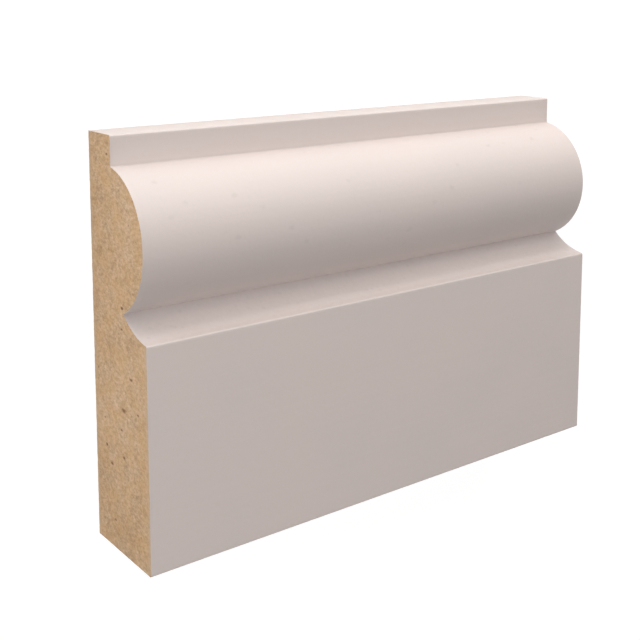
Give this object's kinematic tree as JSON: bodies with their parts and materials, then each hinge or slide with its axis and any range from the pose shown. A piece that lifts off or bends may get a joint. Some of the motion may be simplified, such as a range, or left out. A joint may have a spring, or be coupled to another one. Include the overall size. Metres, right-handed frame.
{
  "type": "torus architrave",
  "caption": "Length of primed MDF torus architrave: flat back, thin head band, bold half-round torus, sharp quirk and cove, then a wide plain face; trims door and window openings.",
  "frame": {"origin": "centre of the flat back, which lies on the floor", "axes": "+X along the length, +Y across the board from the moulded head to the plain edge, +Z out of the moulded face"},
  "size_m": [0.1, 0.068, 0.018],
  "materials": {
    "primed_mdf": "pinkish off-white primer with a soft low sheen on the face and both long edges; bare tan MDF on the sawn ends and the back"
  },
  "bodies": {
    "root": {"architrave": "primed_mdf"}
  },
  "joints": []
}
